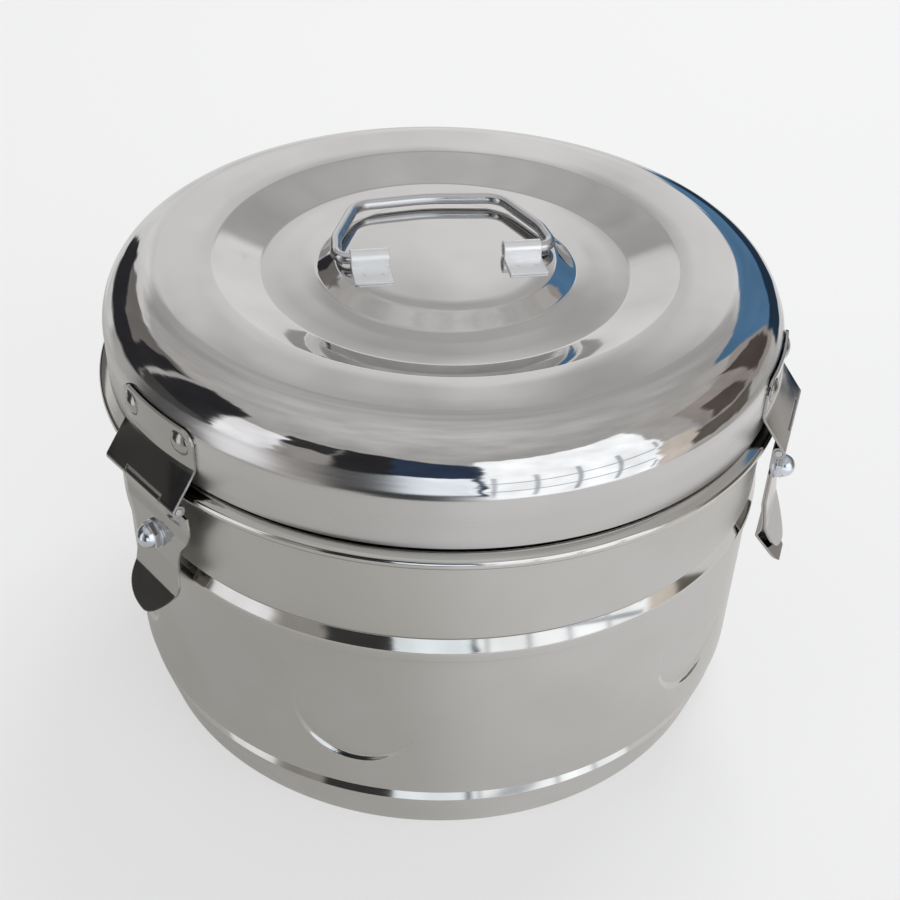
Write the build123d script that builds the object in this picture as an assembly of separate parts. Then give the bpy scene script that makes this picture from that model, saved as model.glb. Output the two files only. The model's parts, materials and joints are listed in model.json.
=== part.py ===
from build123d import *
import math
import os

# Sterilization drum: a round stainless drum, its domed lid with a folding wire handle,
# and three latches round the rim. Millimetres, +Z up, origin in the middle of the face
# that the drum stands on. Side views of the turned parts are lists of (radius, z,
# rounding) corners, from the axis out to the rim.

# ---- drum: radii and heights ---------------------------------------------------------
WALL_R = 117.0            # outside of the drum wall
SHEET = 1.0               # sheet thickness of drum and lid
TOP_BEAD_R = 121.3        # rolled bead below the mouth
TOP_BEAD_Z = (126.8, 130.5)
TOP_BEAD_ROUND = 1.6
MID_BEAD_R = 118.1        # bead that the claws catch under
MID_BEAD_Z = (86.3, 95.6)
MID_BEAD_RAMP = 4.0       # height of the bead's upper slope
LOW_STEP_R = 114.3        # top of the tapering foot band
LOW_STEP_Z = (18.6, 22.4)
FOOT_R = 111.6            # outside of the standing ring
FOOT_INNER_R = 92.0
FOOT_SLOPE = 6.0          # width of the slope from the ring to the raised base
FOOT_RISE = 3.5           # how far the perforated base stands off the table
NECK_R = 115.9            # neck that the lid goes over
NECK_TOP = 141.5
CREASE = 0.3              # rounding of the sharp edges
SOFT = 2.0                # rounding of the pressed edges

# ---- drum: steam filter in the base ---------------------------------------------------
VENT_R = 2.5
VENT_RINGS = ((16.0, 8), (28.0, 16))   # radius of a ring of steam holes, and their count
FILTER_R = 42.0
FILTER_THICK = 2.0
RETAINER_R = 46.0         # cup that holds the filter down
RETAINER_SHEET = 0.8
STUD_R = 3.0
STUD_HEAD_R = 6.0
STUD_END = 8.2            # how far the stud passes the retainer
NUT_R = 8.0
NUT_HEIGHT = 6.0
FLUTE_R = 0.9
FLUTES = 18

# ---- lid ------------------------------------------------------------------------------
LID_R = 117.8             # outside of the skirt
LID_EDGE_Z = 132.4
CROWN_Z = 168.2
SHOULDER_R = 19.5
CHANNEL_OUT_R = 79.8      # outer lip of the ring channel
CHANNEL_LIP_Z = 166.9
CHANNEL_FLOOR_R = (44.8, 64.0)
CHANNEL_FLOOR_Z = 160.7
DISC_R = 38.4             # raised disc that carries the handle
DISC_Z = 165.3
PRESS_ROUND = (2.5, 3.0)  # rounding of the channel's inner and outer corners
SLOPE_SHIFT = 0.3         # sideways part of the sheet's thickness on the channel's slopes
GASKET_R = (112.6, LID_R - SHEET)
GASKET_Z = (141.8, 143.5)

# ---- handle ---------------------------------------------------------------------------
HANDLE_TURN = 10.8        # handle axis against +X, degrees
HANDLE_Y = -5.5           # middle of the handle axis
WIRE_R = 2.0
BAIL_END_U = 20.8         # where the wire's turned-in ends stop
BAIL_HALF = ((37.6, 0.0), (36.2, 14.0), (26.5, 38.5))   # corners of one half of the bail
BAIL_CROWN_W = 41.3
BAIL_ROUNDS = (4.4, 20, 9, 60, 9, 20, 4.4)
CLIP_WIDTH = 13.0
CLIP_U = 26.3             # middle of each clip along the handle axis
CLIP_SHEET = 0.8
CLIP_FOOT = 13.5
CLIP_BORE = WIRE_R + 0.08
AXIS_GAP = 0.12           # daylight between the clip's barrel and the disc
AXIS_Z = DISC_Z + CLIP_BORE + CLIP_SHEET + AXIS_GAP
WELD_BALL_R = 1.5         # ball that presses a weld dimple
WELD_U = 3.2
WELD_W = -8.4
WELD_DEPTH = 0.3

# ---- latches: each in a frame of its own, rho outward from the axis, t along the rim ---
LATCH_AZIMUTHS = {"left": -47.75, "right": 71.25, "rear": 191.75}   # degrees from -Y
HINGE_RHO = 123.9
HINGE_Z = 126.6
KNUCKLE_R = 2.2
PIN_R = 1.2
PIN_BORE = PIN_R + 0.06
PIN_PROUD = 0.2           # how far the pin's ends stand out of the barrel
HALF_BARREL = 19.6
SLOT_T = 1.7              # middle of the gap in the bracket's barrel
HALF_SLOT = 10.0
HALF_KNUCKLE = 9.6        # the lever's knuckle inside that gap
SLOT_HEIGHT = 5.0
PLATE_SHEET = 0.9         # bracket
PLATE_IN_R = LID_R + 0.05 # the bracket's plate is curved to the skirt
PLATE_OUT_R = PLATE_IN_R + PLATE_SHEET
PLATE_TOP = 152.4
PLATE_BEND = 138.8
PLATE_BEND_R = 4.0
PLATE_CORNER = 5.0
RIVET_TURN = 6.6          # degrees from the latch's middle to each rivet
RIVET_Z = 146.7
RIVET_SHANK_R = 2.0
RIVET_HEAD_R = 4.3
RIVET_HEAD_RISE = 1.6
SET_HEAD_R = 3.0
SET_HEAD_THICK = 0.9
LEVER_SHEET = 0.8         # lever and claw
SHEET_MID = HINGE_RHO - KNUCKLE_R + LEVER_SHEET / 2   # rho of the claw's middle surface
LEVER_LINE = ((0, 117.5), (0.8, 114), (0.8, 99), (2.6, 88))   # (rho past SHEET_MID, z)
LEVER_BEND_R = 4.0
LEVER_TIP_Z = 76.8
LIP_ANGLE = 62.0          # slope of the thumb lip
LEVER_LEFT = (            # (t, z) down the lever's two edges
    (-17.0, 123.6), (-15.8, 119.5), (-13.7, 114.5), (-11.5, 109.5), (-10.7, 104),
    (-10.7, 98), (-10.9, 92), (-11.2, 86.5), (-10.3, 82), (-7.4, 78.9), (-3.0, 77.2),
    (1.0, LEVER_TIP_Z),
)
LEVER_RIGHT = (
    (20.8, 123.6), (21.2, 118.0), (20.6, 114.2), (17.4, 109.6), (14.6, 104.5), (13.5, 99.5),
    (13.7, 95), (14.2, 91.5), (13.0, 87.5), (10.6, 83.9), (7.6, 80.6), (4.6, 78.2),
    (1.0, LEVER_TIP_Z),
)
CLAW_T = (-10.5, 8.0)
CLAW_LINE = ((0, 113.5), (0, 98), (1.3, 90), (1.3, 86.6), (0.1, 83.8))
CLAW_BEND_R = 0.6
CLAW_CORNER = 3.0
TAB_WIDTH = 12.5
TAB_ROOT_Z = 86.0
TAB_CORNER = 4.0
CLAW_TABS = {"left": (124.2, 78.8), "right": (131.6, 73.6), "rear": (124.2, 78.8)}
BOLT_T = 2.0
BOLT_Z = 107.0
BOLT_R = 2.5
BOLT_LENGTH = 6.2
WASHER_R = 5.0
WASHER_THICK = 0.7
HEX_FLATS = 8.4
CAP_HEX = 2.0             # height of the cap nut's hexagon
CAP_CROWN_R = 4.05
CAP_CROWN_RISE = 3.95
CAP_DEPTH = 4.2           # depth of its blind hole
FIT = 0.05                # radial room of a fastener in its hole
REACH = 30.0              # length of cutters that pass right through


# ---- helpers --------------------------------------------------------------------------
def turned_path(corners):
    """Solid of revolution under a profile that runs from the axis to the rim."""
    points = [(radius, z) for radius, z, _ in corners]
    path = FilletPolyline(*points, radius=[rounding for _, _, rounding in corners[1:-1]])
    close = Polyline(points[-1], (0, points[-1][1]), points[0])
    return revolve(make_face(Plane.XZ * (Curve() + path + close)), Axis.Z)


def side_offset(points, distance):
    """The polyline moved sideways by distance, with mitred corners."""
    vectors = [Vector(*point) for point in points]
    runs = [(b - a).normalized() for a, b in zip(vectors, vectors[1:])]
    normals = [Vector(-run.Y, run.X) for run in runs]
    moved = []
    for here, before, after in zip(vectors, normals[:1] + normals, normals + normals[-1:]):
        bisector = (before + after).normalized()
        moved.append(here + bisector * (distance / bisector.dot(before)))
    return [(point.X, point.Y) for point in moved]


def bent_strip(points, sheet, bend, t_low, t_high):
    """Sheet metal strip: a centre line in the (rho, z) plane, swept from t_low to t_high."""
    left, right = side_offset(points, sheet / 2), side_offset(points, -sheet / 2)
    sides = FilletPolyline(*left, radius=bend) + FilletPolyline(*right, radius=bend)
    ends = Line(left[0], right[0]) + Line(left[-1], right[-1])
    face = make_face(Plane.XZ * (Curve() + sides + ends))
    return Pos(0, t_low, 0) * extrude(face, t_high - t_low, dir=(0, 1, 0))


def rod(outer, half_length, t=0.0):
    """Solid cylinder along t round the hinge axis."""
    bar = extrude(Circle(outer), half_length, both=True)
    return Pos(HINGE_RHO, t, HINGE_Z) * Rot(90, 0, 0) * bar


def front_outline(left, right):
    """Prism along rho between two smooth edges in the (t, z) plane that meet at the foot."""
    edges = Spline(*left) + Spline(*right) + Line(left[0], right[0])
    face = make_face(Plane.YZ * (Curve() + edges))
    return Pos(HINGE_RHO - REACH / 2, 0, 0) * extrude(face, REACH, dir=(1, 0, 0))


def rounded_plate(width, height, corner, t, z):
    """Prism along rho over a rounded rectangle."""
    face = RectangleRounded(height, width, corner)
    return Pos(HINGE_RHO, t, z) * Rot(0, 90, 0) * extrude(face, REACH / 2, both=True)


def bar_along_rho(face, rho, length, t, z):
    """A face centred on (t, z), extruded outward from rho."""
    return Pos(rho, t, z) * Rot(0, 90, 0) * extrude(face, length)


def dome(rho, t, z, radius, height):
    """Spherical cap that stands on a plane at rho and bulges outward."""
    ball = (radius ** 2 + height ** 2) / (2 * height)
    half = math.asin(radius / ball) / 2
    middle = (height - ball + ball * math.cos(half), ball * math.sin(half))
    arc = ThreePointArc((height, 0), middle, (0, radius))
    face = make_face(Curve() + arc + Polyline((0, radius), (0, 0), (height, 0)))
    return Pos(rho, t, z) * revolve(face, Axis.X)


def disc(radius, z, height, bore=0.0):
    """Round plate on the drum's axis."""
    face = Circle(radius) - Circle(bore) if bore else Circle(radius)
    return Pos(0, 0, z) * extrude(face, height)


def vent_cutters(z):
    """The base's steam holes, as cutters that start at z."""
    return [Pos(0, 0, z) * spot * extrude(Circle(VENT_R), REACH)
            for radius, count in VENT_RINGS for spot in PolarLocations(radius, count)]


def at_latch(side, piece):
    """Turn a piece from the latch's own frame to its place on the rim."""
    return Rot(0, 0, LATCH_AZIMUTHS[side] - 90) * piece


def at_handle(piece):
    """Turn a piece from the handle's (u, w, z) frame to its place on the lid."""
    return Pos(0, HANDLE_Y, 0) * Rot(0, 0, HANDLE_TURN) * piece


# ---- drum -----------------------------------------------------------------------------
def drum_outside():
    mid_low, mid_high = MID_BEAD_Z
    top_low, top_high = TOP_BEAD_Z
    return [
        (0, FOOT_RISE, 0), (FOOT_INNER_R - FOOT_SLOPE, FOOT_RISE, SOFT),
        (FOOT_INNER_R, 0, SOFT), (FOOT_R, 0, SOFT),
        (LOW_STEP_R, LOW_STEP_Z[0], 3), (WALL_R, LOW_STEP_Z[1], 3),
        (WALL_R, mid_low - 0.6, CREASE), (MID_BEAD_R, mid_low, CREASE),
        (MID_BEAD_R, mid_high - MID_BEAD_RAMP, 5), (WALL_R, mid_high, SOFT),
        (WALL_R, top_low, 0.5), (TOP_BEAD_R, top_low, TOP_BEAD_ROUND),
        (TOP_BEAD_R, top_high, TOP_BEAD_ROUND), (NECK_R, top_high, CREASE),
        (NECK_R, NECK_TOP, 0),
    ]


def drum_inside():
    floor = FOOT_RISE + SHEET
    return [
        (0, floor, 0), (FOOT_INNER_R - FOOT_SLOPE + 0.4, floor, SOFT),
        (FOOT_INNER_R + 0.4, SHEET, SOFT), (FOOT_R - 1.1, SHEET, 1.2),
        (LOW_STEP_R - 1.1, LOW_STEP_Z[0] + 0.4, 3), (WALL_R - SHEET, LOW_STEP_Z[1] + 0.4, 3),
        (WALL_R - SHEET, TOP_BEAD_Z[0], 1), (NECK_R - SHEET, TOP_BEAD_Z[0] + 1.2, 1),
        (NECK_R - SHEET, NECK_TOP, 0),
    ]


def drum_body():
    """The sheet drum: standing ring, wall with its beads, neck, and the vented base."""
    holes = vent_cutters(0) + [disc(STUD_R + FIT, 0, REACH)]
    return turned_path(drum_outside()) - turned_path(drum_inside()) - holes


def base_filter():
    return disc(FILTER_R, FOOT_RISE + SHEET, FILTER_THICK, STUD_R + FIT)


def retainer_top():
    return FOOT_RISE + SHEET + FILTER_THICK + RETAINER_SHEET


def filter_retainer():
    """Shallow vented cup over the filter."""
    floor = FOOT_RISE + SHEET
    cup = disc(RETAINER_R, floor, FILTER_THICK + RETAINER_SHEET)
    hollow = disc(RETAINER_R - RETAINER_SHEET, floor, FILTER_THICK)
    return cup - hollow - [disc(STUD_R + FIT, floor, REACH)] - vent_cutters(floor)


def retainer_stud():
    """Flat-headed stud up through the base; its head ends level with the standing ring."""
    head = disc(STUD_HEAD_R, 0, FOOT_RISE)
    return head + disc(STUD_R, FOOT_RISE / 2, retainer_top() + STUD_END - FOOT_RISE / 2)


def retainer_nut():
    """Fluted thumb nut."""
    nut = disc(NUT_R, retainer_top(), NUT_HEIGHT, STUD_R + FIT)
    flute = disc(FLUTE_R, retainer_top(), NUT_HEIGHT)
    return nut - [spot * flute for spot in PolarLocations(NUT_R + FLUTE_R / 2, FLUTES)]


# ---- lid ------------------------------------------------------------------------------
def lid_solid(inset):
    """The lid's bulk, or with an inset its hollow."""
    floor_in, floor_out = CHANNEL_FLOOR_R
    inner, outer = PRESS_ROUND
    shift = inset * SLOPE_SHIFT
    return turned_path([
        (0, DISC_Z - inset, 0), (DISC_R - shift, DISC_Z - inset, inner),
        (floor_in - shift, CHANNEL_FLOOR_Z - inset, inner),
        (floor_out + shift, CHANNEL_FLOOR_Z - inset, outer),
        (CHANNEL_OUT_R + shift, CHANNEL_LIP_Z - inset, outer),
        (LID_R - inset, CROWN_Z - inset, SHOULDER_R - inset), (LID_R - inset, LID_EDGE_Z, 0),
    ])


def rivet_cutters():
    hole = bar_along_rho(Circle(RIVET_SHANK_R + FIT), HINGE_RHO - REACH / 2, REACH, 0, RIVET_Z)
    return [Rot(0, 0, turn) * hole for turn in (-RIVET_TURN, RIVET_TURN)]


def lid_shell():
    """Pressed lid: skirt, round shoulder, ring channel and raised disc."""
    holes = [at_latch(side, hole) for side in LATCH_AZIMUTHS for hole in rivet_cutters()]
    return lid_solid(0) - lid_solid(SHEET) - holes


def lid_gasket():
    return disc(GASKET_R[1], GASKET_Z[0], GASKET_Z[1] - GASKET_Z[0], GASKET_R[0])


def handle_clip(sign):
    """Strap over the wire: a barrel, a neck and a spot-welded foot."""
    outer = CLIP_BORE + CLIP_SHEET
    drop = AXIS_Z - DISC_Z
    neck = Pos(-outer + CLIP_SHEET / 2, -drop / 2) * Rectangle(CLIP_SHEET, drop)
    foot_long = CLIP_FOOT - outer + CLIP_SHEET
    foot_at = Pos(-CLIP_FOOT + foot_long / 2, CLIP_SHEET / 2 - drop)
    section = Circle(outer) + neck + foot_at * Rectangle(foot_long, CLIP_SHEET)
    clip = extrude(Plane.YZ * (section - Circle(CLIP_BORE)), CLIP_WIDTH / 2, both=True)
    ball_z = -drop + CLIP_SHEET + WELD_BALL_R - WELD_DEPTH
    for u in (-WELD_U, WELD_U):
        clip -= Pos(u, WELD_W, ball_z) * Sphere(WELD_BALL_R)
    return at_handle(Pos(sign * CLIP_U, 0, AXIS_Z) * clip)


def handle_bail():
    """Bent wire, lying back on the lid; its ends turn inward into the clips."""
    half = [(BAIL_END_U, 0), *BAIL_HALF]
    route = half + [(0, BAIL_CROWN_W)] + [(-u, w) for u, w in reversed(half)]
    path = FilletPolyline(*route, radius=BAIL_ROUNDS)
    start = Plane(origin=path @ 0, z_dir=path % 0)
    return at_handle(Pos(0, 0, AXIS_Z) * sweep(start * Circle(WIRE_R), path=path))


# ---- latches --------------------------------------------------------------------------
def skirt_band():
    """Level slice of the bracket's plate: a thin arc that follows the skirt."""
    outer, inner = (math.sqrt(r ** 2 - HALF_BARREL ** 2) for r in (PLATE_OUT_R, PLATE_IN_R))
    out_low, out_high = (outer, -HALF_BARREL), (outer, HALF_BARREL)
    in_low, in_high = (inner, -HALF_BARREL), (inner, HALF_BARREL)
    edges = ThreePointArc(out_low, (PLATE_OUT_R, 0), out_high) + Line(out_high, in_high)
    edges += ThreePointArc(in_high, (PLATE_IN_R, 0), in_low) + Line(in_low, out_low)
    return make_face(Curve() + edges)


def bend_edge(sheet, outside):
    """Edge of the bend between plate and flange, on the sheet's outside or inside."""
    middle = (PLATE_IN_R + PLATE_OUT_R) / 2
    return [e for e in sheet.edges().filter_by(GeomType.CIRCLE)
            if abs((e @ 0.5).Z - PLATE_BEND) < 0.01 and ((e @ 0.5).X > middle) == outside]


def latch_bracket():
    """Plate curved to the skirt, flange sloping out over the bead, and the hinge barrel."""
    mid = (PLATE_IN_R + PLATE_OUT_R) / 2
    curl = KNUCKLE_R - PLATE_SHEET / 2
    span = math.hypot(HINGE_RHO - mid, HINGE_Z - PLATE_BEND)
    aim = math.atan2(HINGE_Z - PLATE_BEND, HINGE_RHO - mid) + math.asin(curl / span)
    run = math.sqrt(span ** 2 - curl ** 2)
    foot = Rectangle(PLATE_SHEET / abs(math.sin(aim)), 2 * HALF_BARREL)
    foot = Pos(mid + run * math.cos(aim), 0, PLATE_BEND + run * math.sin(aim)) * foot
    band = Pos(0, 0, PLATE_BEND) * skirt_band()
    sheet = extrude(band, PLATE_TOP - PLATE_BEND) + loft([band, foot], ruled=True)
    sheet = fillet(bend_edge(sheet, True), PLATE_BEND_R)
    sheet = fillet(bend_edge(sheet, False), PLATE_BEND_R + PLATE_SHEET)
    height = 2 * (PLATE_TOP - HINGE_Z + 2 * KNUCKLE_R)
    sheet &= rounded_plate(2 * HALF_BARREL, height, PLATE_CORNER, 0, PLATE_TOP - height / 2)
    bracket = sheet + rod(KNUCKLE_R, HALF_BARREL) - rod(PIN_BORE, HALF_BARREL)
    bracket -= Pos(HINGE_RHO, SLOT_T, HINGE_Z) * Box(REACH, 2 * HALF_SLOT, SLOT_HEIGHT)
    return bracket - rivet_cutters()


def bracket_rivet(turn):
    """Rivet: a low dome outside, a shank, and a flat set head inside the skirt."""
    skirt = math.sqrt((LID_R - SHEET) ** 2 - SET_HEAD_R ** 2)
    set_face = skirt - SET_HEAD_THICK - 0.05
    rivet = dome(PLATE_OUT_R - 0.1, 0, RIVET_Z, RIVET_HEAD_R, RIVET_HEAD_RISE)
    rivet -= disc(PLATE_OUT_R, RIVET_Z - REACH / 2, REACH)
    rivet += bar_along_rho(Circle(SET_HEAD_R), set_face, SET_HEAD_THICK, 0, RIVET_Z)
    shank = PLATE_OUT_R + RIVET_HEAD_RISE / 2 - set_face
    rivet += bar_along_rho(Circle(RIVET_SHANK_R), set_face, shank, 0, RIVET_Z)
    return Rot(0, 0, turn) * rivet


def hinge_pin():
    return rod(PIN_R, HALF_BARREL + PIN_PROUD)


def bolt_cutter():
    return bar_along_rho(Circle(BOLT_R + FIT), HINGE_RHO - REACH / 2, REACH, BOLT_T, BOLT_Z)


def latch_lever():
    """Hourglass plate on a knuckle, with a thumb lip bent outward at its foot."""
    line = [(SHEET_MID, HINGE_Z)] + [(SHEET_MID + out, z) for out, z in LEVER_LINE]
    fall = LEVER_LINE[-1][1] - LEVER_TIP_Z + 1
    lip = (line[-1][0] + fall / math.tan(math.radians(LIP_ANGLE)), LEVER_TIP_Z - 1)
    strip = bent_strip(line + [lip], LEVER_SHEET, LEVER_BEND_R, -REACH, REACH)
    neck = Pos(HINGE_RHO, SLOT_T, HINGE_Z) * Box(REACH, 2 * HALF_KNUCKLE, SLOT_HEIGHT + 2)
    lever = (strip & front_outline(LEVER_LEFT, LEVER_RIGHT)) + (strip & neck)
    lever += rod(KNUCKLE_R, HALF_KNUCKLE, SLOT_T)
    return lever - rod(PIN_BORE, REACH) - bolt_cutter()


def latch_claw(tab):
    """Strip behind the lever whose hooked foot goes under the bead; tab is its free end."""
    low, high = CLAW_T
    line = [(SHEET_MID + out, z) for out, z in CLAW_LINE] + [tab]
    strip = bent_strip(line, LEVER_SHEET, CLAW_BEND_R, low, high)
    top, shoulder = line[0][1], line[1][1]
    upper = rounded_plate(
        high - low, 2 * (top - shoulder), CLAW_CORNER, (low + high) / 2, shoulder)
    lower = rounded_plate(
        TAB_WIDTH, 2 * (TAB_ROOT_Z - tab[1] + 0.5), TAB_CORNER, low + TAB_WIDTH / 2,
        TAB_ROOT_Z)
    return (strip & (upper + lower)) - bolt_cutter()


def clamp_bolt():
    """Threaded stud through claw and lever, flush with the claw's inner face."""
    return bar_along_rho(Circle(BOLT_R), SHEET_MID - LEVER_SHEET / 2, BOLT_LENGTH, BOLT_T, BOLT_Z)


def hexagon():
    return RegularPolygon(HEX_FLATS / 2, 6, major_radius=False)


def washer_rho():
    return SHEET_MID + 1.5 * LEVER_SHEET


def bolt_washer():
    ring = bar_along_rho(Circle(WASHER_R), washer_rho(), WASHER_THICK, BOLT_T, BOLT_Z)
    return ring - bolt_cutter()


def cap_nut():
    seat = washer_rho() + WASHER_THICK
    nut = bar_along_rho(hexagon(), seat, CAP_HEX, BOLT_T, BOLT_Z)
    nut += dome(seat + CAP_HEX, BOLT_T, BOLT_Z, CAP_CROWN_R, CAP_CROWN_RISE)
    return nut - bar_along_rho(Circle(BOLT_R + FIT), seat - 1, CAP_DEPTH + 1, BOLT_T, BOLT_Z)


# ---- files ----------------------------------------------------------------------------
def write(name, solid):
    solid.label = name
    export_step(solid, os.path.join("parts", name + ".step"))


def main():
    os.makedirs("parts", exist_ok=True)
    write("drum_body", drum_body())
    write("base_filter", base_filter())
    write("filter_retainer", filter_retainer())
    write("retainer_stud", retainer_stud())
    write("retainer_nut", retainer_nut())
    write("lid_shell", lid_shell())
    write("lid_gasket", lid_gasket())
    write("handle_clip_left", handle_clip(-1))
    write("handle_clip_right", handle_clip(1))
    write("handle_bail", handle_bail())
    shared = {
        "bracket": latch_bracket(), "rivet_a": bracket_rivet(-RIVET_TURN),
        "rivet_b": bracket_rivet(RIVET_TURN), "hinge_pin": hinge_pin(),
        "lever": latch_lever(), "clamp_bolt": clamp_bolt(), "bolt_washer": bolt_washer(),
        "cap_nut": cap_nut(),
    }
    for side in LATCH_AZIMUTHS:
        for name, piece in shared.items():
            write(f"{side}_{name}", at_latch(side, piece))
        write(f"{side}_claw", at_latch(side, latch_claw(CLAW_TABS[side])))


main()
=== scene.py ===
# %% [markdown]
# # A stainless sterilization drum
# A round steel drum with a domed lid, a folding wire handle and three latches. The packed
# CAD model says where every piece is. This script gives each piece its finish, turns the
# two big pressings again as finer meshes, and lights them the way a small studio would.
# Lengths are metres, +Z is up and the drum stands on the floor at z = 0.

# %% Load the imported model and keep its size
import json
import math

import bmesh
import bpy
from mathutils import Matrix, Vector


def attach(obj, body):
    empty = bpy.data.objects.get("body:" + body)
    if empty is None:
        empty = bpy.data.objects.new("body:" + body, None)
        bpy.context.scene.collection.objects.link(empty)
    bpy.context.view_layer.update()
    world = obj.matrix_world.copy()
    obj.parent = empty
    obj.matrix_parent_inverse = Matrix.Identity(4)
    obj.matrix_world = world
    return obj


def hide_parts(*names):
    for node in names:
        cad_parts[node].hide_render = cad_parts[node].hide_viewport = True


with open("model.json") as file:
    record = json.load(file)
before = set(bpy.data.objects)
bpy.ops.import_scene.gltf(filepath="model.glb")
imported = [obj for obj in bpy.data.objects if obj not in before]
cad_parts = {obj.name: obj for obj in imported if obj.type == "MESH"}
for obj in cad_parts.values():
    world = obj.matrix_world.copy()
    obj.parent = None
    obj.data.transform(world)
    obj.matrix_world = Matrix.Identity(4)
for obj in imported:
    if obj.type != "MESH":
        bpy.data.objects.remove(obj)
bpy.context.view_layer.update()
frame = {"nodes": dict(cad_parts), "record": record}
MM = 0.001

# %% [markdown]
# ## The camera
# A photograph fixes its camera: the ellipses of the rims give its height and tilt, and the
# way the drum narrows downward gives its distance. Matrices keep the three small turns
# apart: first the tilt down, then the turn to the side, then the lean of the picture.

# %% Stand the camera where the photograph was taken
CAMERA_AT = Vector((0.0, -0.4057, 0.3841))
TILT_DOWN, TURN_RIGHT, LEAN = math.radians(36.83), math.radians(0.43), math.radians(1.78)

camera = bpy.data.objects.new("camera", bpy.data.cameras.new("camera"))
bpy.context.scene.collection.objects.link(camera)
camera.data.lens = 52.83
camera.data.sensor_width = 36
camera.data.clip_start = 0.01
camera.matrix_world = (
    Matrix.Translation(CAMERA_AT)
    @ Matrix.Rotation(math.pi / 2 - TILT_DOWN, 4, "X")
    @ Matrix.Rotation(-TURN_RIGHT, 4, "Y")
    @ Matrix.Rotation(LEAN, 4, "Z")
)
bpy.context.scene.camera = camera
print("camera stands", round(CAMERA_AT.length, 3), "m from the drum's foot")

# %% [markdown]
# ## Shader maths as plain expressions
# A material is a graph of nodes. Wired by hand, a sum takes four lines, so one small class
# wraps an output socket and lets Python's own operators add the Math nodes. Everything else
# comes from one method, which sets a node's options first and then its sockets.


# %% A socket that can be added, multiplied and blended
class Flow:
    """One output socket of a node tree, on which Python's operators work."""

    def __init__(self, tree, socket=None):
        self.tree, self.socket = tree, socket

    def node(self, kind, settings={}, sockets={}, out=0):
        made = self.tree.nodes.new(kind)
        for name, value in settings.items():
            if name == "stops":
                paint_ramp(made.color_ramp, value)
            else:
                setattr(made, name, value)
        for name, value in sockets.items():
            if isinstance(value, Flow):
                self.tree.links.new(value.socket, made.inputs[name])
            else:
                made.inputs[name].default_value = value
        return Flow(self.tree, made.outputs[out])

    def math(self, operation, *values):
        return self.node("ShaderNodeMath", {"operation": operation}, dict(enumerate(values)))

    def __add__(self, other):
        return self.math("ADD", self, other)

    def __sub__(self, other):
        return self.math("SUBTRACT", self, other)

    def __rsub__(self, other):
        return self.math("SUBTRACT", other, self)

    def __mul__(self, other):
        return self.math("MULTIPLY", self, other)

    __radd__, __rmul__ = __add__, __mul__


def paint_ramp(ramp, stops):
    """Set a colour ramp's stops from (position, grey) pairs."""
    while len(ramp.elements) > len(stops):
        ramp.elements.remove(ramp.elements[-1])
    while len(ramp.elements) < len(stops):
        ramp.elements.new(1.0)
    for element, (position, grey) in zip(ramp.elements, stops):
        element.position, element.color = position, (grey, grey, grey, 1)


# %% Masks that rise and fall smoothly
def rise(value, low, high):
    """0 below low, 1 above high, smooth between."""
    return value.node(
        "ShaderNodeMapRange", {"interpolation_type": "SMOOTHSTEP"},
        {"Value": value, "From Min": low, "From Max": high})


def band(value, low, high, soft):
    """1 between low and high, 0 outside, with soft edges."""
    return rise(value, low - soft, low) * (1 - rise(value, high, high + soft))


# %% [markdown]
# ## Steel finishes
# Bare steel is all reflection, so a finish is made of three things: how blurred the
# reflection is, which way the grinding stretched it, and how far the pressing left the
# sheet wavy. Noise in metres keeps each of them at its real scale.


# %% A material's start: position on the object, and the shader
def start_material(name, **fixed):
    """An empty metal material: its tree, the place on the object, and the shader node."""
    material = bpy.data.materials.new(name)
    material.use_nodes = True
    tree = material.node_tree
    shader = tree.nodes["Principled BSDF"]
    shader.inputs["Metallic"].default_value = 1.0
    for key, value in fixed.items():
        shader.inputs[key.replace("_", " ")].default_value = value
    place = Flow(tree).node("ShaderNodeTexCoord", out=3)
    return material, shader, place


def feed(node, name, flow):
    """Link a flow into one of a node's sockets."""
    flow.tree.links.new(flow.socket, node.inputs[name])


def noise(place, scale, detail=2.0, stretch=(1, 1, 1)):
    """Noise whose cells measure 1 / scale metres, stretched along an axis if asked."""
    spot = place.node("ShaderNodeMapping", {}, {"Vector": place, "Scale": stretch})
    return place.node(
        "ShaderNodeTexNoise", {}, {"Vector": spot, "Scale": scale, "Detail": detail})


def bump(height, distance, strength=1.0):
    return height.node(
        "ShaderNodeBump", {},
        {"Height": height, "Distance": distance, "Strength": strength})


def blend(mask, low, high):
    """Colour that goes from low to high, each a flow or three numbers, with the mask."""
    low, high = (c if isinstance(c, Flow) else (*c, 1) for c in (low, high))
    return mask.node(
        "ShaderNodeMix", {"data_type": "RGBA"}, {"Factor": mask, "A": low, "B": high}, out=2)


# %% [markdown]
# ### Turned sheet
# Drum and lid were polished on a lathe, so the fine lines run round them and smear every
# reflection up and down. The shader's anisotropy does that round the object's Z axis with
# no help from a texture. The lid's top and the drum's beads were buffed brighter; masks on
# the height above the floor and on the sheet's tilt say where.

# %% Lid and drum steel
PAINTED_SHADE_HEIGHTS = (0.084, 0.130)     # from below the mid bead to below the mouth, where shade is painted under the beads
LID_BUFFED = (0.1562, 0.1574)     # heights over which the lid goes from satin to polish
EXTRA_BUFFED = 0.006              # how much lower the polish goes at the lid's front right
DRUM_BUFFED = (0.1262, 0.1268)    # the same two heights under the drum's rolled bead


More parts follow.
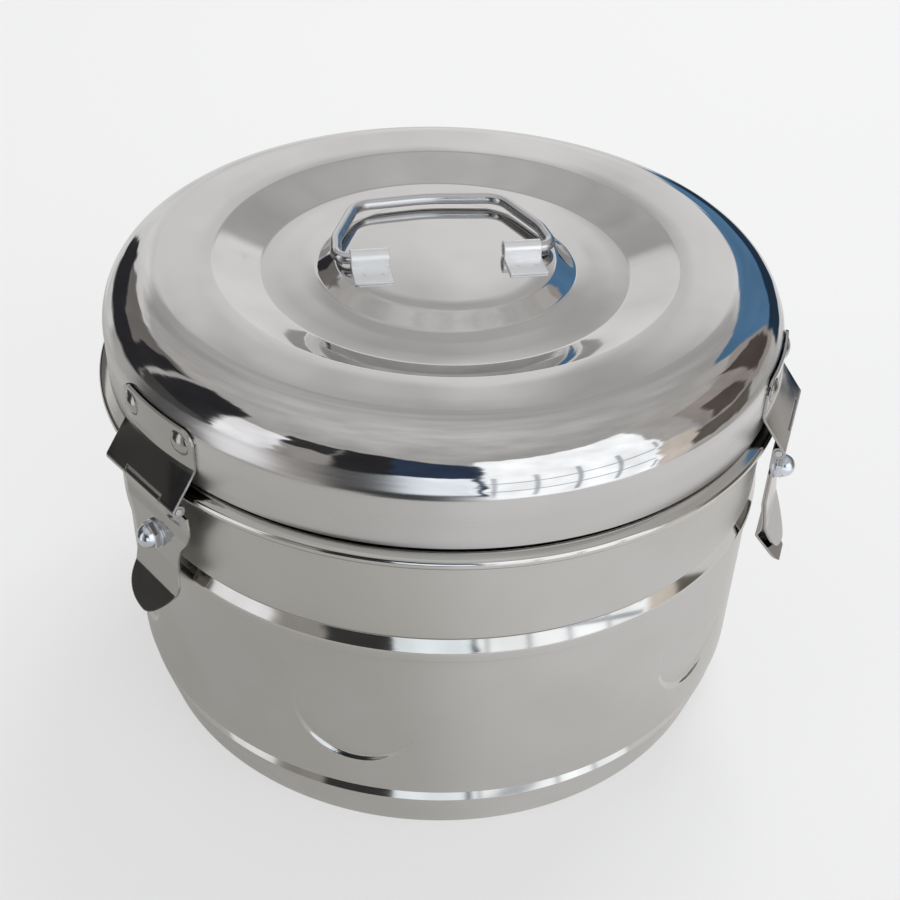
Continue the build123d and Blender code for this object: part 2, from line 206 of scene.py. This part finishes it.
def turned_steel(name, colour, smudge, polished, satin, polish_roughness):
    """Sheet polished on the lathe; polished(height, tilt) is a mask, satin(height) a roughness."""
    material, shader, place = start_material(name, Anisotropic=0.9)
    height = place.node("ShaderNodeSeparateXYZ", {}, {"Vector": place}, out="Z")
    facing = place.node("ShaderNodeNewGeometry", out="Normal")
    tilt = facing.node("ShaderNodeSeparateXYZ", {}, {"Vector": facing}, out="Z")
    gloss = polished(height, tilt)
    cloud = noise(place, 22.0)
    lines = noise(place, 60.0, 3.0, stretch=(1, 1, 60))
    rough = gloss * polish_roughness + (1 - gloss) * satin(height)
    feed(shader, "Roughness", rough + (cloud - 0.5) * 0.05 + (lines - 0.5) * 0.04)
    steel = blend(rise(cloud, 0.35, 0.7), colour, smudge)
    painted_fold_shade = rise(tilt * -1, 0.3, 0.6) * band(height, *PAINTED_SHADE_HEIGHTS, 0.001)    # painted shade: near black where the sheet faces down under the beads
    feed(shader, "Base Color", blend(painted_fold_shade, steel, (0.05, 0.048, 0.045)))
    return material, shader, place


def lid_polish(height, tilt):
    """Polish above a height, which is lower between two places from left to right."""
    x = height.node(
        "ShaderNodeSeparateXYZ", {}, {"Vector": height.node("ShaderNodeTexCoord", out=3)})
    return rise(height + band(x, 0.018, 0.082, 0.025) * EXTRA_BUFFED, *LID_BUFFED)


def lid_satin(height):
    """Roughness 0.16 on the shoulder, rising to 0.29 down the skirt."""
    return rise(0.1600 - height, 0.0100, 0.0185) * 0.13 + 0.16


def drum_polish(height, tilt):
    """Polish from the rolled bead up, and wherever the sheet faces a little upward."""
    bead = rise(height, *DRUM_BUFFED)
    return bead.math("MAXIMUM", bead, rise(tilt, 0.06, 0.16))


def drum_satin(height):
    return 0.30


lid_steel, lid_shader, lid_place = turned_steel(
    "stainless_polished", (0.62, 0.61, 0.60), (0.66, 0.65, 0.64), lid_polish, lid_satin, 0.04)
waves = noise(lid_place, 22.0, 2.0)
feed(lid_shader, "Normal", bump(waves, 0.0002, 0.45))

drum_steel, drum_shader, drum_place = turned_steel(
    "stainless_satin", (0.58, 0.57, 0.54), (0.62, 0.61, 0.59), drum_polish, drum_satin, 0.06)
waves = noise(drum_place, 14.0, 1.0)
feed(drum_shader, "Normal", bump(waves, 0.0002, 0.2))
print("turned steel:", lid_steel.name, "and", drum_steel.name)

# %% [markdown]
# ### Latch sheet, wire, zinc, silicone and felt
# The latches are pressed from thin sheet and tumbled, which leaves a soft shine with short
# scratches in every direction. The wire keeps the long lines of drawing. The nuts are
# plated with zinc, a little bluer. Two soft materials hide inside.


# %% Small hardware finishes
def tumbled_steel(name, colour, roughness, grain):
    material, shader, place = start_material(name)
    scratches = noise(place, 900.0, 3.0, stretch=grain)
    cloud = noise(place, 80.0)
    feed(shader, "Roughness", rise(cloud, 0.3, 0.7) * 0.08 + roughness)
    feed(shader, "Base Color", blend(cloud, [c * 0.94 for c in colour], colour))
    edges = place.node("ShaderNodeBevel", {"samples": 4}, {"Radius": 0.0004})
    feed(shader, "Normal", scratches.node(
        "ShaderNodeBump", {},
        {"Height": scratches, "Distance": 0.00002, "Strength": 0.5, "Normal": edges}))
    return material


def soft_material(name, light, dark, grain_scale, depth):
    material, shader, place = start_material(name, Metallic=0.0, Roughness=0.85)
    grain = noise(place, grain_scale, 4.0)
    feed(shader, "Base Color", blend(grain, dark, light))
    feed(shader, "Normal", bump(grain, depth))
    return material


finishes = {
    "latch_steel": tumbled_steel("latch_steel", (0.46, 0.445, 0.425), 0.09, (1, 1, 1)),
    "wire_steel": tumbled_steel("wire_steel", (0.64, 0.64, 0.65), 0.17, (0.1, 1, 1)),
    "zinc_plated": tumbled_steel("zinc_plated", (0.72, 0.75, 0.80), 0.14, (1, 1, 1)),
    "silicone": soft_material("silicone", (0.80, 0.79, 0.76), (0.74, 0.73, 0.70), 400, 0.00003),
    "filter_felt": soft_material("filter_felt", (0.9, 0.89, 0.86), (0.78, 0.77, 0.73), 900, 0.0003),
    "stainless_satin": drum_steel,
    "stainless_polished": lid_steel,
}

# %% Give every CAD node the finish of its slot
slots = {entry["node"]: entry["material_slot"] for entry in frame["record"]["subparts"]}
for name, thing in frame["nodes"].items():
    for holder in thing.material_slots:
        holder.material = finishes[slots[name]]
clip_steel = tumbled_steel("clip_steel", (0.94, 0.94, 0.94), 0.36, (1, 1, 1))
for name in ("handle_clip_left", "handle_clip_right"):
    for holder in frame["nodes"][name].material_slots:
        holder.material = clip_steel    # softer and brighter than the latches
print(len(slots), "nodes dressed")

# %% [markdown]
# ## Turning a pressing
# The lid and the drum are bodies of revolution, so each is one profile swept round the Z
# axis. The profile is written as corners with a rounding, and every corner becomes an arc.
# The normals are taken from the profile as well, because on a mirror even a slight error in
# a normal shows as a ripple.


# %% From corners to a profile
def rounded_profile(corners, step=0.6 * MM):
    """Points (radius, z) along a profile of (radius, z, rounding) corners, in metres."""
    points = [Vector(corners[0][:2])]
    for before, corner, after in zip(corners, corners[1:], corners[2:]):
        here = Vector(corner[:2])
        back = (Vector(before[:2]) - here).normalized()
        ahead = (Vector(after[:2]) - here).normalized()
        half = back.angle(ahead) / 2
        middle = here + (back + ahead).normalized() * corner[2] / math.sin(half)
        first = here + back * corner[2] / math.tan(half) - middle
        last = here + ahead * corner[2] / math.tan(half) - middle
        turn = first.angle_signed(last)
        pieces = max(4, round(abs(turn) * corner[2] / step))
        for i in range(pieces + 1):
            points.append(middle + Matrix.Rotation(-turn * i / pieces, 2) @ first)
    points.append(Vector(corners[-1][:2]))
    return points


def fill_runs(points, step):
    """Extra points on the long straight runs."""
    filled = [points[0]]
    for a, b in zip(points, points[1:]):
        cuts = max(1, math.ceil((b - a).length / step))
        filled += [a.lerp(b, i / cuts) for i in range(1, cuts + 1)]
    return filled


# %% From a profile to a mesh
def path_normals(points):
    """Unit normals on the right of the path."""
    normals = []
    for i, here in enumerate(points):
        ahead = points[min(i + 1, len(points) - 1)]
        back = points[max(i - 1, 0)]
        run = (ahead - here).normalized() + (here - back).normalized()
        normals.append(Vector((run.y, -run.x)).normalized())
    return normals


def turned_mesh(name, points, azimuths, swell=None):
    """Mesh of a profile turned round Z; swell(azimuth, z) gives a lift outward and its slopes."""
    normals = path_normals(points)
    verts, directions = [], []
    for azimuth in azimuths:
        out = Vector((math.sin(azimuth), -math.cos(azimuth), 0))
        along = Vector((math.cos(azimuth), math.sin(azimuth), 0))
        for point, normal in zip(points, normals):
            lift, slope_t, slope_z = swell(azimuth, point.y) if swell else (0, 0, 0)
            verts.append(out * (point.x + lift) + Vector((0, 0, point.y)))
            tipped = out * normal.x + Vector((0, 0, normal.y))
            directions.append((tipped - along * slope_t - Vector((0, 0, slope_z))).normalized())
    rows, columns = len(points), len(azimuths)
    faces = []
    for c in range(columns):
        here, next_ = c * rows, (c + 1) % columns * rows
        faces += [(here + r, next_ + r, next_ + r + 1, here + r + 1) for r in range(rows - 1)]
    mesh = bpy.data.meshes.new(name)
    mesh.from_pydata(verts, [], faces)
    mesh.shade_smooth()
    mesh.normals_split_custom_set_from_vertices(directions)
    thing = bpy.data.objects.new(name, mesh)
    bpy.context.scene.collection.objects.link(thing)
    return thing


AROUND = 288    # columns of a plain turned mesh


def ring_of(count):
    return [2 * math.pi * i / count for i in range(count)]


# %% [markdown]
# ## The lid
# One pressing: a raised disc for the handle, a ring channel round it, a nearly flat
# annulus, a round shoulder and the skirt. The corners are the CAD's own, outside and then
# back along the inside, so this mesh stands exactly where the solid does.

# %% Turn the lid
LID_CORNERS = [
    (0.0, 165.3, 0), (38.4, 165.3, 2.5), (44.8, 160.7, 2.5), (64.0, 160.7, 3.0),
    (79.8, 166.9, 3.0), (117.8, 168.2, 19.5), (117.8, 132.4, 0.45), (116.8, 132.4, 0.45),
    (116.8, 167.2, 18.5), (80.1, 165.9, 3.0), (64.3, 159.7, 3.0), (44.5, 159.7, 2.5),
    (38.1, 164.3, 2.5), (0.0, 164.3, 0),
]


def metres(corners):
    return [tuple(value * MM for value in corner) for corner in corners]


lid_points = fill_runs(rounded_profile(metres(LID_CORNERS)), 6 * MM)
lid = turned_mesh("lid_pressing", lid_points[::-1], ring_of(AROUND))    # outside on the right
lid.data.materials.append(lid_steel)
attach(lid, "lid")
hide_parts("lid_shell")
print("lid:", len(lid.data.vertices), "vertices")

# %% [markdown]
# ## The drum
# Foot, shoulder, wall, flat bead, rolled bead and neck are one profile too. Six half-moon
# creases are pressed into the wall below the bead, two to a third of the drum. A crease
# is a shallow hollow that ends in a steep lower edge, so the wall is turned with fine
# columns where they are, and a formula moves its points in and tips its normals.

# %% The half-moon creases
CREASE_AZIMUTHS = [
    math.radians(first + third) for third in (0, 120, 240) for first in (-12.5, 52.0)]
CREASE_Z = 0.0575
CREASE_RADIUS = 0.0215
CREASE_EDGE = 0.0011      # half the width of the steep edge
CREASE_DEPTH = 0.00115
CREASE_LEAN = math.radians(-106)    # where round its circle the crease is deepest
WALL_RADIUS = 0.117


def crease_height(x, z):
    """Lift at x along the wall and z above the crease's centre; below 0 is inward."""
    reach = math.hypot(x, z)
    if reach > CREASE_RADIUS + CREASE_EDGE:
        return 0.0
    off = (math.atan2(z, x) - CREASE_LEAN + math.pi) % (2 * math.pi) - math.pi
    strength = max(0.0, math.cos(off)) ** 0.8
    step = min(1.0, (CREASE_RADIUS + CREASE_EDGE - reach) / (2 * CREASE_EDGE))
    return -CREASE_DEPTH * strength * step * step * (3 - 2 * step) * (reach / CREASE_RADIUS) ** 2


def creases(azimuth, height):
    """Lift and slopes of the nearest crease at this place on the wall."""
    turns = [(azimuth - a + math.pi) % (2 * math.pi) - math.pi for a in CREASE_AZIMUTHS]
    x, z = min(turns, key=abs) * WALL_RADIUS, height - CREASE_Z
    if math.hypot(x, z) > CREASE_RADIUS * 1.2:
        return 0.0, 0.0, 0.0
    h = 0.00005    # step of the numerical slope
    lift = crease_height(x, z)
    slope_t = (crease_height(x + h, z) - crease_height(x - h, z)) / (2 * h)
    slope_z = (crease_height(x, z + h) - crease_height(x, z - h)) / (2 * h)
    return lift, slope_t, slope_z


# %% Turn the drum in three bands
DRUM_FOOT = [
    (60.0, 3.5, 0), (86.0, 3.5, 2.0), (92.0, 0.0, 2.0), (111.6, 0.0, 2.0), (116.0, 16.9, 0.8),
    (113.8, 20.5, 0.5), (114.2, 22.0, 0.3), (117.0, 22.4, 0.4), (117.0, 32.0, 0),
]
DRUM_TOP = [
    (117.0, 82.0, 0), (117.0, 85.7, 0.3), (118.1, 86.3, 0.4), (118.1, 89.9, 3.0),
    (116.2, 94.5, 0.3), (117.0, 95.6, 0.8), (117.0, 126.8, 0.5), (121.3, 126.8, 1.6),
    (121.3, 130.0, 1.5), (116.6, 131.4, 0.5), (115.9, 131.5, 0.2), (115.9, 141.5, 0.45),
    (114.9, 141.5, 0.45), (114.9, 128.0, 1.0),
    (116.0, 126.8, 1.0), (116.0, 22.8, 3.0), (113.2, 19.0, 3.0), (110.5, 1.0, 1.2),
    (92.4, 1.0, 2.0), (86.4, 4.5, 2.0), (60.0, 4.5, 0),
]
DRUM_WALL = [(117.0, 32.0, 0), (117.0, 82.0, 0)]


def columns_near_creases():
    """Azimuths for the wall: fine across each crease, coarse between."""
    reach, fine, coarse = 0.0235 / WALL_RADIUS, 0.00045 / WALL_RADIUS, 0.004 / WALL_RADIUS
    azimuths, azimuth = [], 0.0
    while azimuth < 2 * math.pi - fine / 2:
        azimuths.append(azimuth)
        gap = min(abs((azimuth - a + math.pi) % (2 * math.pi) - math.pi) for a in CREASE_AZIMUTHS)
        azimuth += fine if gap < reach else min(coarse, max(fine, gap - reach))
    return azimuths


for name, corners, step, azimuths, swell in (
    ("drum_foot", DRUM_FOOT, 6 * MM, ring_of(AROUND), None),
    ("drum_wall", DRUM_WALL, 0.45 * MM, columns_near_creases(), creases),
    ("drum_rim", DRUM_TOP, 6 * MM, ring_of(AROUND), None),
):
    points = fill_runs(rounded_profile(metres(corners)), step)
    ring = turned_mesh(name, points, azimuths, swell)
    ring.data.materials.append(drum_steel)
    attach(ring, "drum")
    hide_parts("drum_body")
    print(name, len(ring.data.vertices), "vertices")

# %% [markdown]
# ## The vented base
# The middle of the base is flat and has two rings of steam holes and one for the stud. It
# is a disc cut by a Boolean modifier, which is the quickest way to many round holes.

# %% Cut the base
def cylinder(name, radius, low, high, sides, spots=((0, 0),)):
    """Upright cylinders of one radius at several (x, y) places, as one object."""
    build = bmesh.new()
    for x, y in spots:
        bmesh.ops.create_cone(
            build, cap_ends=True, segments=sides, radius1=radius, radius2=radius,
            depth=high - low, matrix=Matrix.Translation((x, y, (low + high) / 2)))
    mesh = bpy.data.meshes.new(name)
    build.to_mesh(mesh)
    thing = bpy.data.objects.new(name, mesh)
    bpy.context.scene.collection.objects.link(thing)
    return thing


VENT_RINGS = ((0.016, 8), (0.028, 16))
vents = [
    (radius * math.cos(2 * math.pi * i / count), radius * math.sin(2 * math.pi * i / count))
    for radius, count in VENT_RINGS for i in range(count)]
base = cylinder("drum_base", 0.060, 0.0035, 0.0045, AROUND)
cutters = (
    cylinder("vents", 0.0025, 0, 0.01, 32, vents), cylinder("stud_hole", 0.00305, 0, 0.01, 32))
for cutter in cutters:
    cut = base.modifiers.new("holes", "BOOLEAN")
    cut.object, cut.operation = cutter, "DIFFERENCE"
    evaluated = base.evaluated_get(bpy.context.evaluated_depsgraph_get())
    base.data = bpy.data.meshes.new_from_object(evaluated)
    base.modifiers.clear()
    bpy.data.objects.remove(cutter)
base.data.materials.clear()
base.data.materials.append(drum_steel)
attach(base, "drum")
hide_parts("drum_body")
print("base:", len(vents), "vents")

# %% [markdown]
# ## Floor, light and a room to mirror
# Polished steel shows its surroundings, so a metal object is lit by what stands round it. An
# even white room would leave the drum flat and grey. This one is pale too, but has what a
# real room has: a window, a dark doorway, a blue wall. They are painted in the world by
# direction, which costs no geometry, and their soft edges slide over the round shoulder.

# %% The floor
def direction(azimuth, elevation):
    """Unit vector; azimuth from +Y towards +X, elevation above the floor, in degrees."""
    a, e = math.radians(azimuth), math.radians(elevation)
    return Vector((math.sin(a) * math.cos(e), math.cos(a) * math.cos(e), math.sin(e)))


TABLE_REACH, FLOOR_REACH = 0.42, 8.0    # outer radii of the near and the far floor
FLOOR_SIDES = 96


def flat_ring(name, *radii):
    """A flat disc with one radius, or a flat ring between two, at z = 0."""
    corners = [
        direction(-360 * i / FLOOR_SIDES, 0) * radius
        for radius in radii for i in range(FLOOR_SIDES)]
    faces = [tuple(range(FLOOR_SIDES))]
    if len(radii) == 2:
        faces = [
            (i, FLOOR_SIDES + i, FLOOR_SIDES + (i + 1) % FLOOR_SIDES, (i + 1) % FLOOR_SIDES)
            for i in range(FLOOR_SIDES)]
    mesh = bpy.data.meshes.new(name)
    mesh.from_pydata(corners, [], faces)
    thing = bpy.data.objects.new(name, mesh)
    bpy.context.scene.collection.objects.link(thing)
    return thing


near_floor = flat_ring("near_floor", TABLE_REACH)
far_floor = flat_ring("far_floor", TABLE_REACH, FLOOR_REACH)
far_floor.visible_glossy = False    # the steel sees the room beyond the table, as a real one does

floor_paint, floor_shader, floor_place = start_material("floor_paint", Metallic=0.0, Roughness=0.7)
faint_cloud = blend(noise(floor_place, 3.0), (0.85, 0.85, 0.845), (0.87, 0.87, 0.865))
feed(floor_shader, "Base Color", faint_cloud)
for thing in (near_floor, far_floor):
    thing.data.materials.append(floor_paint)


# %% [markdown]
# A white backdrop is a matter of its own colour, not of more light. Light Path tells the
# floor who is looking: the camera and the steel see it nearly white, with a trace of the
# shadow, while the light that it bounces stays plain. For the steel the glow is painted
# brighter on the side near the window, as painted window light.

# %% A white floor for the camera and the steel
def who_looks(flow):
    """Masks for rays from the camera, and for rays mirrored or let through by a piece."""
    path = "ShaderNodeLightPath"
    mirrored = flow.node(path, out="Is Glossy Ray") + flow.node(path, out="Is Transmission Ray")
    return flow.node(path, out="Is Camera Ray"), mirrored


def glow(flow, colour):
    return flow.node("ShaderNodeEmission", {}, {"Color": colour})


def mix_shader(flow, mask, first, second):
    made = flow.tree.nodes.new("ShaderNodeMixShader")
    for socket, value in zip(made.inputs, (mask, first, second)):
        flow.tree.links.new(value.socket, socket)
    return Flow(flow.tree, made.outputs[0])


WHITENESS = 0.55    # share of the glow in what the camera and the steel see
side = floor_place.node("ShaderNodeSeparateXYZ", {}, {"Vector": floor_place}, out=0)
# painted light: the glow the steel sees goes from darker on the left to brighter on the window side
painted_window_light = rise(side, -0.25, 0.2) * 0.65 + rise(side, -0.01, 0.03) * 0.35
by_camera, by_steel = who_looks(floor_place)
seen_colour = blend(
    by_camera, blend(painted_window_light, (0.50, 0.49, 0.46), (0.95, 0.94, 0.95)), (1.0, 1.0, 1.0))
lit = Flow(floor_paint.node_tree, floor_shader.outputs[0])
whitened = mix_shader(lit, (by_camera + by_steel) * WHITENESS, lit, glow(lit, seen_colour))
feed(floor_paint.node_tree.nodes["Material Output"], "Surface", whitened)

# %% [markdown]
# The world's colour is a stack: first a grey that changes with height above the horizon,
# then one patch after another, each a mask between two azimuths and two elevations. The
# azimuth runs from 0 to 360 degrees, from behind the drum towards the right.

# %% The room: a window, a blue wall, a doorway
room = bpy.data.worlds.new("room")
room.use_nodes = True
bpy.context.scene.world = room
look = Flow(room.node_tree).node("ShaderNodeTexCoord", out="Generated")
look_x, look_y, look_z = (
    look.node("ShaderNodeSeparateXYZ", {}, {"Vector": look}, out=axis) for axis in "XYZ")
wobble, wobble_up = noise(look, 7.0, 3.0), noise(look, 9.0, 3.0, stretch=(1, -1, 1))
plain_azimuth = look.math("ARCTAN2", look_x, look_y) * math.degrees(1)
plain_elevation = look.math("ARCSINE", look_z) * math.degrees(1)
azimuth = look.math("FLOORED_MODULO", plain_azimuth + (wobble - 0.5) * 9, 360.0)
elevation = plain_elevation + (wobble_up - 0.5) * 7

# (elevation, grey) from straight down to straight up
WALL_GREYS = [
    (-90, 0.55), (0, 0.80), (28.0, 0.88), (31.5, 0.48), (45, 0.50), (67, 0.62), (90, 0.72)]
painted = look.node(
    "ShaderNodeValToRGB", {"stops": [((e + 90) / 180, grey) for e, grey in WALL_GREYS]},
    {"Fac": (elevation + 90) * (1 / 180)})

# name: azimuth from, to, elevation low, high, how much higher at the end, softness, colour
PATCHES = {
    "side_grey": (50, 305, -30, 46, 0, 6.0, (0.52, 0.51, 0.50)),
    "blue_wall": (14, 50, -5, 25, 13, 1.2, (0.10, 0.22, 0.38)),
    "blue_low": (16, 50, -12, 4, 0, 2.0, (0.02, 0.04, 0.07)),
    "brown_blind": (51, 95, -2, 31, 0, 2.0, (0.40, 0.36, 0.34)),
    "blind_dark": (53, 66, 4, 22, 10, 2.0, (0.10, 0.08, 0.07)),
    "blind_shadow": (74, 88, 2, 16, 6, 2.0, (0.12, 0.10, 0.09)),
    "chairs": (72, 98, -16, -3, 0, 2.0, (0.14, 0.13, 0.11)),
    "sill": (99, 112, -24, 6, 0, 2.0, (0.75, 0.68, 0.62)),
    "window": (112, 166, -24, 42, 0, 1.5, (1.45, 1.50, 1.55)),
    "front_blue": (167, 196, -16, 36, 8, 1.5, (0.035, 0.055, 0.10)),
    "front_low": (176, 200, -30, 3, 0, 1.2, (0.03, 0.035, 0.04)),
    "front_light": (169, 192, -14, 15, 0, 1.0, (1.2, 1.3, 1.4)),
    "doorway": (196, 214, 8, 44, 0, 2.0, (0.03, 0.03, 0.033)),
    "doorway_low": (193, 214, -22, 8, 0, 2.0, (0.05, 0.05, 0.05)),
    "left_grey": (216, 229, -16, 40, 0, 3.0, (0.38, 0.36, 0.35)),
    "left_beam": (216, 234, 31, 42, 0, 1.5, (0.04, 0.04, 0.043)),
    "left_white": (233, 253, -20, 36, 0, 1.5, (1.10, 1.10, 1.14)),
    "left_dark": (256, 280, 8, 44, 0, 1.5, (0.03, 0.03, 0.034)),
    "left_low": (254, 284, -20, 9, 0, 1.5, (0.07, 0.07, 0.07)),
    "back_dark": (286, 326, -6, 39, -18, 2.0, (0.20, 0.19, 0.185)),
    "back_edge": (286, 296, -2, 36, -4, 1.5, (0.03, 0.03, 0.033)),
    "back_low": (286, 330, -4, 10, 6, 1.5, (0.03, 0.03, 0.035)),
}
for low_az, high_az, low, high, climb, soft, colour in PATCHES.values():
    leaning = elevation - (azimuth - low_az) * (climb / (high_az - low_az))
    mask = band(azimuth, low_az, high_az, soft) * rise(elevation, low - soft, low) * (
        1 - rise(leaning, high, high + soft))
    painted = blend(mask, painted, colour)

# thin grey bars, without the wobble, divide the window into panes
HALF_PANE = (6.5, 7.0)    # half a pane's width and height, in degrees
window_from, window_to, window_low = PATCHES["window"][:3]
upright = azimuth.math("PINGPONG", plain_azimuth - window_from, HALF_PANE[0])
level = elevation.math("PINGPONG", plain_elevation - window_low, HALF_PANE[1])
bars = 1 - rise(upright, 0.5, 1.1) * rise(level, 0.4, 0.9)
bars *= band(azimuth, window_from + 1, window_to - 1, 1) * band(elevation, -20, 14, 2)
painted = blend(bars, painted, (0.62, 0.66, 0.72))

# the camera sees an even backdrop; the steel sees the room, in light and shade
BACKDROP = (0.93, 0.93, 0.925)
by_camera, _ = who_looks(look)
background = room.node_tree.nodes["Background"]
feed(background, "Color", blend(by_camera, painted, BACKDROP))
cloudy = noise(look, 5.0, 4.0, stretch=(1, 1, 0.5)) * 0.7 + 0.65
feed(background, "Strength", by_camera + (1 - by_camera) * cloudy)
print("room:", ", ".join(PATCHES))

# %% [markdown]
# One large soft lamp high behind the drum gives the floor its faint shadow. The steel
# doesn't mirror the lamp, which would be a hard white rectangle on the lid.

# %% The key lamp
lamp = bpy.data.objects.new("soft_box", bpy.data.lights.new("soft_box", "AREA"))
bpy.context.scene.collection.objects.link(lamp)
lamp.data.shape, lamp.data.size, lamp.data.size_y = "RECTANGLE", 0.9, 0.6
lamp.data.energy = 14
lamp.location = (0.5, 0.9, 1.7)
lamp.rotation_euler = (Vector((0, 0, 0.1)) - lamp.location).to_track_quat("-Z", "Y").to_euler()
lamp.visible_camera = lamp.visible_glossy = False

# %% [markdown]
# ## Finish
# The view transform stays Standard, so a colour renders as it is written.

# %% Keep the view transform Standard
bpy.context.scene.view_settings.view_transform = "Standard"
